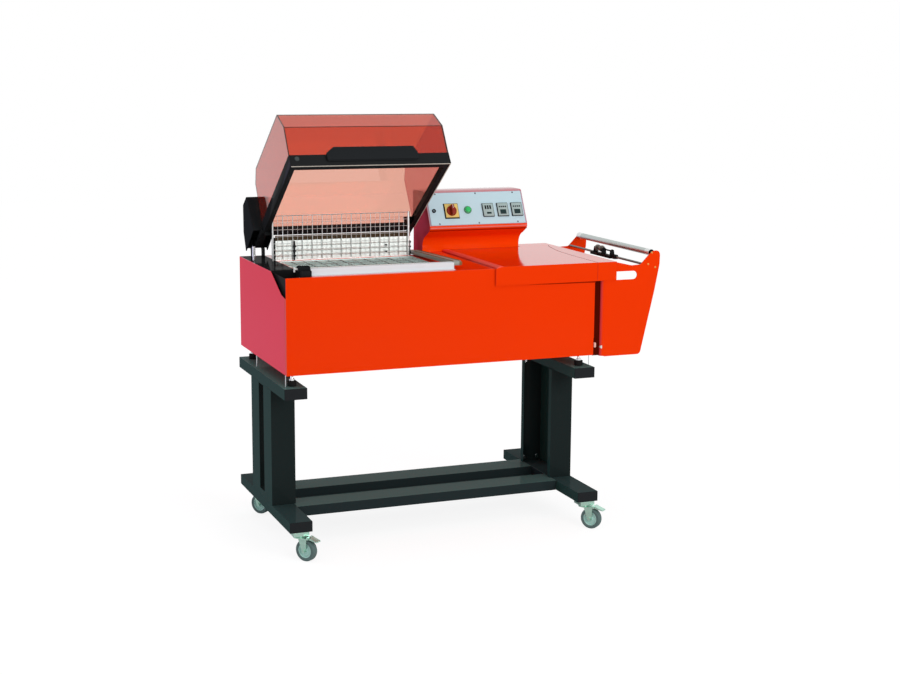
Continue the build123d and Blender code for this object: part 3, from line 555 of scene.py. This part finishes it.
bmesh.ops.create_cone(plug, cap_ends=True, segments=32, radius1=0.0095, radius2=0.0080, depth=0.003,
                      matrix=raised @ Matrix.Translation(Vector((0.088, -0.609, -0.012)))
                      @ Matrix.Rotation(radians(90), 4, "X"))
fit("bar_plug", plug, enamel("plug_plastic", (0.06, 0.07, 0.07), 0.3, 0.3), "hood")

# Console: one orange sheet bent to the sloping panel face and the overhang below it, with
# welded ends.
console_left, console_width = 715, 416
shell = bmesh.new()
profile = [(553, 1013), (553, 1063), (491, 1094), (470, 1108), (470, 1123), (535, 1250), (542, 1254),
           (646, 1254), (654, 1247), (654, 1013)]
draw_out(shell, [at(console_left, y, z) for y, z in profile], (console_width / 1000, 0, 0))
for (y, z), offset, segments in (((553, 1063), 0.028, 10), ((491, 1094), 0.012, 4), ((470, 1108), 0.008, 6),
                                 ((470, 1123), 0.004, 5), ((646, 1254), 0.004, 3)):
    spot = at(0, y, z)
    bend = [e for e in shell.edges
            if all(abs(v.co.y - spot.y) < 1e-4 and abs(v.co.z - spot.z) < 1e-4 for v in e.verts)]
    round_edges(shell, bend, offset, segments)
# Its lilac upward faces and purple left faces are painted reflection and shade, not the paint's own colour.
console_orange = enamel("console_paint", (1.0, 0.07, 0.001), 0.4, 0.06, top_coat=1.0, left_coat=0.06,
                        top_painted_light=(0.65, 0.24, 0.28), left_painted_light=(0.56, 0.05, 0.09))
fit("console_shell", shell, console_orange, "machine", ["console_housing"], smooth=30)

# Control panel: pale blue-grey sheet with a lilac rim that carries the switch, button and
# modules. The salmon bar under it is a painted highlight along the console's fold, and the
# dark bar below that is the fold's painted shadow.
panel_blue = enamel("panel_sheet", (0.59, 0.8, 0.88), 0.35, 0.1)
dress(panel_blue, "control_panel", edge=0.0006)
up_slope = Vector((0, 0.45559, 0.89020))
off_slope = Vector((0, -0.89020, 0.45559))
slope = Matrix((Vector((1, 0, 0)), up_slope, off_slope)).transposed()
face_of = Matrix.Translation(at(console_left, 470, 1123)) @ slope.to_4x4()


def on_panel(x, y, z):
    return Vector((x, y, z)) / 1000


rim = bmesh.new()
slab(rim, on_panel(0.6, 0.6, -0.3), on_panel(415.4, 141.6, 0.8), 0.0004, 2, face_of)
rim_lilac = enamel("rim_lilac", (0.5, 0.36, 0.44), 0.4, 0.2)
fit("panel_rim", rim, rim_lilac, "machine")
# The salmon bar is a painted highlight along the fold.
console_fold_highlight = bmesh.new()
bar(console_fold_highlight, at(716, 470.2, 1114.5), at(1130, 470.2, 1114.5), 0.0036, 16)
fit("console_fold_highlight", console_fold_highlight, enamel("fold_painted_highlight", (0.9, 0.2, 0.16), 0.4, 0.2), "machine")
shadow_line = bmesh.new()
bar(shadow_line, at(716, 472.4, 1104.6), at(1130, 472.4, 1104.6), 0.0022, 12)
fit("console_shadow_line", shadow_line, enamel("fold_dark", (0.42, 0.01, 0.001), 0.5, 0.0), "machine")

# Main switch: moulded black base, yellow plate and a red rotary grip with a white pointer
# line. The grip makes a quarter turn.
base = bmesh.new()
slab(base, on_panel(68, 28, 3), on_panel(130, 92, 4.6), 0.0008, 2, face_of)
fit("switch_base", base, cap_black, "machine", ["switch_plate_and_bezel"])
yellow = enamel("yellow_plastic", (0.86, 0.64, 0.2), 0.3, 0.2)
plate = bmesh.new()
slab(plate, on_panel(73, 33, 4.6), on_panel(128, 90, 6), 0.0006, 2, face_of)
fit("switch_plate", plate, yellow, "machine", ["switch_plate_and_bezel"])
red_plastic = enamel("red_plastic", (0.3, 0.02, 0.006), 0.3, 0.5)
knob = bmesh.new()
centre = face_of @ Matrix.Translation(on_panel(99, 60, 0))
bmesh.ops.create_cone(knob, cap_ends=True, segments=48, radius1=0.021, radius2=0.0195, depth=0.006,
                      matrix=centre @ Matrix.Translation((0, 0, 0.0093)))
slab(knob, Vector((-0.006, -0.0205, 0.0115)), Vector((0.006, 0.0205, 0.0282)), 0.002, 3, centre)
fit("switch_grip", knob, red_plastic, "switch_knob", ["switch_knob"])
line = bmesh.new()
slab(line, Vector((-0.0009, 0.004, 0.0281)), Vector((0.0009, 0.0195, 0.0284)), 0, 1, centre)
fit("switch_line", line, white_plastic, "switch_knob")

# Start button: green domed lens with a weak lamp behind it, in a turned metal ring whose
# green colour is painted reflection of the lens. The lens is pressed in against a spring.
green = enamel("green_lens", (0.02, 0.42, 0.1), 0.15, 0.6)
glow = green.node_tree.nodes["Principled BSDF"].inputs
glow["Emission Color"].default_value = (0.03, 0.6, 0.15, 1)
glow["Emission Strength"].default_value = 0.25
button_place = face_of @ Matrix.Translation(on_panel(169, 63, 0))
bezel = bmesh.new()
turned(bezel, [(0.0114, 0.003), (0.0160, 0.003), (0.0160, 0.0055), (0.0145, 0.0085), (0.0118, 0.0088),
               (0.0114, 0.0080)])
bmesh.ops.transform(bezel, matrix=button_place, verts=bezel.verts)
fit("button_ring", bezel, plated("ring_metal_painted_green", (0.12, 0.3, 0.16), 0.25), "machine",
    ["switch_plate_and_bezel"])
lens = bmesh.new()
turned(lens, [(0.0001, 0.0064), (0.0108, 0.0064), (0.0108, 0.0112), (0.0095, 0.0129), (0.006, 0.0140),
              (0.0001, 0.0144)])
bmesh.ops.remove_doubles(lens, verts=lens.verts, dist=0.0002)
bmesh.ops.transform(lens, matrix=button_place, verts=lens.verts)
fit("button_lens", lens, green, "start_button", ["start_button"])

# Digital modules: grey faces in dark frames with dark displays and small keys, set into the
# panel's openings, and the round black socket at the panel's left.
module_grey = enamel("module_grey", (0.42, 0.54, 0.53), 0.4, 0.0)
frames = bmesh.new()
faces = bmesh.new()
glass_faces = bmesh.new()
keys = bmesh.new()
for x0, x1, has_display in ((231, 279, False), (294, 342, True), (355, 403, True)):
    slab(frames, on_panel(x0, 31, 3), on_panel(x1, 88, 8), 0.0012, 2, face_of)
    slab(faces, on_panel(x0 + 2.5, 33, 7.5), on_panel(x1 - 2, 86, 8.6), 0.0006, 2, face_of)
    if has_display:
        slab(glass_faces, on_panel(x0 + 11, 40, 8.2), on_panel(x1 - 11, 59, 9), 0.0004, 1, face_of)
        for k in range(4):
            key = x0 + 8 + k * 8.6
            slab(keys, on_panel(key, 68, 8.2), on_panel(key + 6, 74, 9.2), 0.0006, 2, face_of)
    else:
        for k in range(3):
            key = x0 + 10 + k * 10
            slab(keys, on_panel(key, 62, 8.2), on_panel(key + 7, 78, 9.4), 0.0006, 2, face_of)
        slab(glass_faces, on_panel(x0 + 16, 42, 8.2), on_panel(x1 - 12, 50, 9), 0.0004, 1, face_of)
fit("module_frames", frames, cap_black, "machine", ["digital_modules"])
fit("module_faces", faces, module_grey, "machine", ["digital_modules"])
display = enamel("display_window", (0.006, 0.03, 0.03), 0.08, 0.5, peel=0.0)
fit("module_displays", glass_faces, display, "machine", ["digital_modules"])
fit("module_keys", keys, cap_black, "machine", ["digital_modules"])
socket = bmesh.new()
turned(socket, [(0.0035, 0.003), (0.008, 0.003), (0.008, 0.006), (0.0068, 0.0078), (0.0035, 0.0078)])
socket_place = face_of @ Matrix.Translation(on_panel(26, 62.6, 0))
bmesh.ops.transform(socket, matrix=socket_place, verts=socket.verts)
fit("panel_socket", socket, cap_black, "machine", ["digital_modules"])

# Panel screws: dark plated screws with low round heads, three along the panel's upper edge
# and three along its lower one.
screws = bmesh.new()
for x, y in ((42, 7.5), (209, 7.5), (376, 7.5), (42, 133), (213, 133), (374, 133)):
    bmesh.ops.create_cone(screws, cap_ends=True, segments=24, radius1=0.0036, radius2=0.0026, depth=0.0016,
                          matrix=face_of @ Matrix.Translation(on_panel(x, y, 3.8)))
fit("panel_screws", screws, plated("screw_dark", (0.2, 0.2, 0.22), 0.3), "machine")

# Film cradle: laser-cut end plates with rounded corners and a hand slot, folded in at the
# housing, small brass-coloured screws at the ears, and angle brackets set back behind them.
for y0, side in ((0, 1), (627, -1)):
    outline = [(1243, 658), (1389, 658), (1397, 661), (1401, 668), (1455, 903), (1474, 1002),
               (1475, 1041), (1470, 1051), (1460, 1055), (1443, 1053), (1432, 1045), (1392, 1004),
               (1355, 1002), (1284, 1018), (1243, 1018)]
    plate = bmesh.new()
    plate.faces.new([plate.verts.new(at(x, y0, z)) for x, z in outline])
    bmesh.ops.bevel(plate, geom=list(plate.verts), offset=0.004, offset_type="OFFSET", segments=4,
                    profile=0.5, affect="VERTICES", material=-1)
    slot_corners = ((1250, 949), (1378, 949), (1378, 981), (1250, 981))
    slot = plate.faces.new([plate.verts.new(at(x, y0, z)) for x, z in slot_corners])
    bmesh.ops.bevel(plate, geom=list(slot.verts), offset=0.0155, offset_type="OFFSET", segments=10,
                    profile=0.5, affect="VERTICES", material=-1)
    bmesh.ops.delete(plate, geom=list(plate.faces), context="FACES_ONLY")
    bmesh.ops.triangle_fill(plate, edges=list(plate.edges), use_beauty=True)
    pull(plate, list(plate.faces), (0, 0.003, 0))
    near = y0 if side > 0 else y0 + 3
    bend = [(1243 - 13 * sin(radians(a)), near + side * (13 - 13 * cos(radians(a))))
            for a in range(0, 91, 10)]
    bend += [(1230, near + side * 38), (1233, near + side * 38)]
    bend += [(1243 - 10 * sin(radians(a)), near + side * (13 - 10 * cos(radians(a))))
             for a in range(90, -1, -10)]
    draw_out(plate, [at(x, y, 660) for x, y in bend], (0, 0, 0.357))
    plate_name = "cradle_plate_front" if side > 0 else "cradle_plate_rear"
    fit(plate_name, plate, orange, "machine", ["cradle_plates"])
cradle_screws = bmesh.new()
for x, z in ((1425, 1004), (1456, 991), (1440, 1047)):
    for y, turn in ((-1.1, 90), (631.1, -90)):
        aim = Matrix.Translation(at(x, y, z)) @ Matrix.Rotation(radians(turn), 4, "X")
        bmesh.ops.create_cone(cradle_screws, cap_ends=True, segments=20, radius1=0.0042,
                              radius2=0.0026, depth=0.0022, matrix=aim)
brass = plated("brass_screw", (0.85, 0.45, 0.12), 0.3)
fit("cradle_screws", cradle_screws, brass, "machine", ["hex_bolts"])
brackets = bmesh.new()
for y0, y1 in ((42, 45), (582, 585)):
    slab(brackets, at(1200.2, y0, 730), at(1262, y1, 1010), 0.0008)
    slab(brackets, at(1200.2, 3 if y0 < 100 else y1, 730), at(1203, y0 if y0 < 100 else 627, 1010), 0.0008)
    slab(brackets, at(1240, 3 if y0 < 100 else y1, 740), at(1243, y0 if y0 < 100 else 627, 900), 0.0008)
fit("cradle_angles", brackets, orange, "machine", ["cradle_brackets"])

# Gap beside the film cradle: a dark sheet set back between the housing and the front plate,
# which closes the gap. Its dark brown is painted shade, for the shadow inside the gap.
gap_painted_shade = enamel("gap_painted_shade", (0.07, 0.004, 0.001), 0.6, 0.0)
gap_shade_sheet = bmesh.new()
slab(gap_shade_sheet, at(1200.6, 12, 662), at(1233, 14, 1010))
fit("gap_shade_strips", gap_shade_sheet, gap_painted_shade, "machine")

# Tray lip, bush and edges: a painted shadow strip under the tray's front lip, a pale moulded
# bush in the gap, the tray's rolled left edge in a lighter red that is painted highlight, and
# the seam between the tray and the film guide.
lip_corners = ((880, 950.5), (1203, 950.5), (1203, 943.5), (1010, 945.5))
lip_shadow_strip = bmesh.new()
draw_out(lip_shadow_strip, [at(x, -0.4, z) for x, z in lip_corners], (0, 0.0003, 0))
fit("lip_shadow_strip", lip_shadow_strip, enamel("lip_painted_shadow", (0.36, 0.016, 0.001), 0.6, 0.0), "machine")
bush = bmesh.new()
slab(bush, at(1204, 1.5, 694), at(1213, 11, 713), 0.003, 3)
fit("gap_bush", bush, enamel("bush_pink", (0.8, 0.5, 0.42), 0.4, 0.1), "machine")
edge_roll = bmesh.new()
roll = [(820 + 11 * cos(radians(a)), 1015.6 + 5.6 * sin(radians(a))) for a in range(90, 181, 10)]
roll = [(822, 1021.2)] + [(x - 11, z) for x, z in roll] + [(797.5, 1013.5), (822, 1013.5)]
draw_out(edge_roll, [at(x, -7.8, z) for x, z in roll], (0, 0.5555, 0))
# The rolled edge's lighter red is a painted highlight along it.
edge_paint_and_highlight = enamel("edge_paint_and_highlight", (1.0, 0.1, 0.07), 0.4, 0.2)
fit("tray_rolled_edge", edge_roll, edge_paint_and_highlight, "loading_tray", smooth=50)
seam_line = bmesh.new()
for i in range(28):
    y = -7 + i * 554 / 27
    x = 1207.4 + 55 * (max(y, 0) / 548) ** 3.5
    seam_line.verts.new(at(x - 1.1, y, 1020.2))
    seam_line.verts.new(at(x + 1.1, y, 1020.2))
seam_line.verts.ensure_lookup_table()
for i in range(27):
    seam_line.faces.new([seam_line.verts[k] for k in (2 * i, 2 * i + 1, 2 * i + 3, 2 * i + 2)])
seam_red = enamel("seam_shadow", (0.16, 0.008, 0.004), 0.6, 0.0)
fit("film_seam", seam_line, seam_red, "machine")

# Guide roller: a turned aluminium tube between the cradle plates, with a brighter sleeve at
# each end.
roller_grey = plated("roller_tube", (0.5, 0.55, 0.53), 0.34, grain=(30, 1, 30))
dress(roller_grey, "guide_roller")
sleeves = bmesh.new()
for y0, y1 in ((6, 40), (590, 624)):
    bar(sleeves, at(1440, y0, 1047), at(1440, y1, 1047), 0.0124, 40)
fit("roller_sleeves", sleeves, plated("sleeve_tube", (0.72, 0.75, 0.74), 0.3), "guide_roller")

# Perforator: two steel wheels with pins round them on one hub, in a carriage that slides on
# a dark steel rod.
wheels = bmesh.new()
bar(wheels, at(1398, 320, 1026), at(1398, 384, 1026), 0.005, 24)
for y in (329, 365):
    bar(wheels, at(1398, y, 1026), at(1398, y + 10, 1026), 0.0118, 32)
    for i in range(18):
        turn = radians(i * 20)
        tip = Vector((cos(turn), 0, sin(turn)))
        bar(wheels, at(1398, y + 5, 1026) + tip * 0.011, at(1398, y + 5, 1026) + tip * 0.0138, 0.0009, 6)
fit("pin_wheels", wheels, plated("pin_steel", (0.2, 0.17, 0.15), 0.35), "pin_wheel", ["pin_wheel"])
rod_dark = plated("rod_steel", (0.16, 0.16, 0.15), 0.3)
dress(rod_dark, "perforator_rod")

# Film support rollers: two pale plastic rollers low in the cradle that carry the film roll
# and turn with it.
pale = enamel("pale_plastic", (0.7, 0.7, 0.66), 0.4, 0.0)
dress(pale, "film_roller_inner", "film_roller_outer")

# Camera: a long lens at standing height, to the left of the machine's front, at the place
# and angle found from the machine's straight edges.
scene = bpy.context.scene
scene.view_settings.view_transform = "Standard"
camera_data = bpy.data.cameras.new("camera")
camera_data.lens = 62.217
camera_data.sensor_width = 36.0
camera_data.clip_end = 60.0
camera = bpy.data.objects.new("camera", camera_data)
camera.location = (-2.17469, -5.47735, 1.76730)
camera.rotation_euler = (radians(79.8455), radians(-0.3751), radians(-21.5779))
scene.collection.objects.link(camera)
scene.camera = camera


# Lamps: one soft white lamp in front and one soft lavender lamp at the left and behind, as
# large rectangles.
def lamp(name, place, aim, width, height, power, colour=(1, 1, 1)):
    light = bpy.data.lights.new(name, "AREA")
    light.shape = "RECTANGLE"
    light.size = width
    light.size_y = height
    light.energy = power
    light.color = colour
    holder = bpy.data.objects.new(name, light)
    holder.location = place
    holder.rotation_euler = (Vector(aim) - Vector(place)).to_track_quat("-Z", "Y").to_euler()
    scene.collection.objects.link(holder)


lamp("front_soft", (1.0, -4.6, 2.2), (0, 0, 0.9), 2.6, 1.6, 86)
lamp("left_soft", (-4.5, 3.5, 1.4), (0, 0, 0.8), 3.0, 2.5, 45, (0.6, 0.56, 1.0))

# Room: plain white light from all sides, seen as white by the camera and through or in
# glossy and clear pieces.
world = bpy.data.worlds.new("room")
scene.world = world
world.use_nodes = True
sky = world.node_tree.nodes["Background"]
sky.inputs["Color"].default_value = (1, 1, 1, 1)
sky.inputs["Strength"].default_value = 0.62
white = world.node_tree.nodes.new("ShaderNodeBackground")
white.inputs["Color"].default_value = (1, 1, 1, 1)
white.inputs["Strength"].default_value = 1.0
path = world.node_tree.nodes.new("ShaderNodeLightPath")
either = world.node_tree.nodes.new("ShaderNodeMath")
either.operation = "MAXIMUM"
shiny = world.node_tree.nodes.new("ShaderNodeMath")
shiny.operation = "MAXIMUM"
mix = world.node_tree.nodes.new("ShaderNodeMixShader")
link = world.node_tree.links.new
link(path.outputs["Is Camera Ray"], either.inputs[0])
link(path.outputs["Is Transmission Ray"], either.inputs[1])
link(either.outputs["Value"], shiny.inputs[0])
link(path.outputs["Is Glossy Ray"], shiny.inputs[1])
link(shiny.outputs["Value"], mix.inputs["Fac"])
link(sky.outputs["Background"], mix.inputs[1])
link(white.outputs["Background"], mix.inputs[2])
link(mix.outputs["Shader"], world.node_tree.nodes["World Output"].inputs["Surface"])

# Floor: a wide matt white sheet that keeps the machine's faint shadow and shows as white to
# the camera.
mesh = bpy.data.meshes.new("floor")
sheet = bmesh.new()
bmesh.ops.create_grid(sheet, x_segments=2, y_segments=2, size=14)
sheet.to_mesh(mesh)
sheet.free()
floor = bpy.data.objects.new("floor", mesh)
scene.collection.objects.link(floor)
floor_white = bpy.data.materials.new("floor_white")
floor_white.use_nodes = True
tree = floor_white.node_tree
floor_shader = tree.nodes["Principled BSDF"]
floor_shader.inputs["Base Color"].default_value = (0.85, 0.85, 0.85, 1)
floor_shader.inputs["Roughness"].default_value = 0.9
floor_shader.inputs["Specular IOR Level"].default_value = 0.0
floor_glow = tree.nodes.new("ShaderNodeEmission")
floor_glow.inputs["Strength"].default_value = 1.185
floor_path = tree.nodes.new("ShaderNodeLightPath")
floor_share = tree.nodes.new("ShaderNodeMath")
floor_share.operation = "MULTIPLY"
floor_share.inputs[1].default_value = 0.72
floor_mix = tree.nodes.new("ShaderNodeMixShader")
floor_seen = tree.nodes.new("ShaderNodeMath")
floor_seen.operation = "MAXIMUM"
tree.links.new(floor_path.outputs["Is Camera Ray"], floor_seen.inputs[0])
tree.links.new(floor_path.outputs["Is Transmission Ray"], floor_seen.inputs[1])
tree.links.new(floor_seen.outputs["Value"], floor_share.inputs[0])
tree.links.new(floor_share.outputs["Value"], floor_mix.inputs["Fac"])
tree.links.new(floor_shader.outputs["BSDF"], floor_mix.inputs[1])
tree.links.new(floor_glow.outputs["Emission"], floor_mix.inputs[2])
tree.links.new(floor_mix.outputs["Shader"], tree.nodes["Material Output"].inputs["Surface"])
floor.data.materials.append(floor_white)
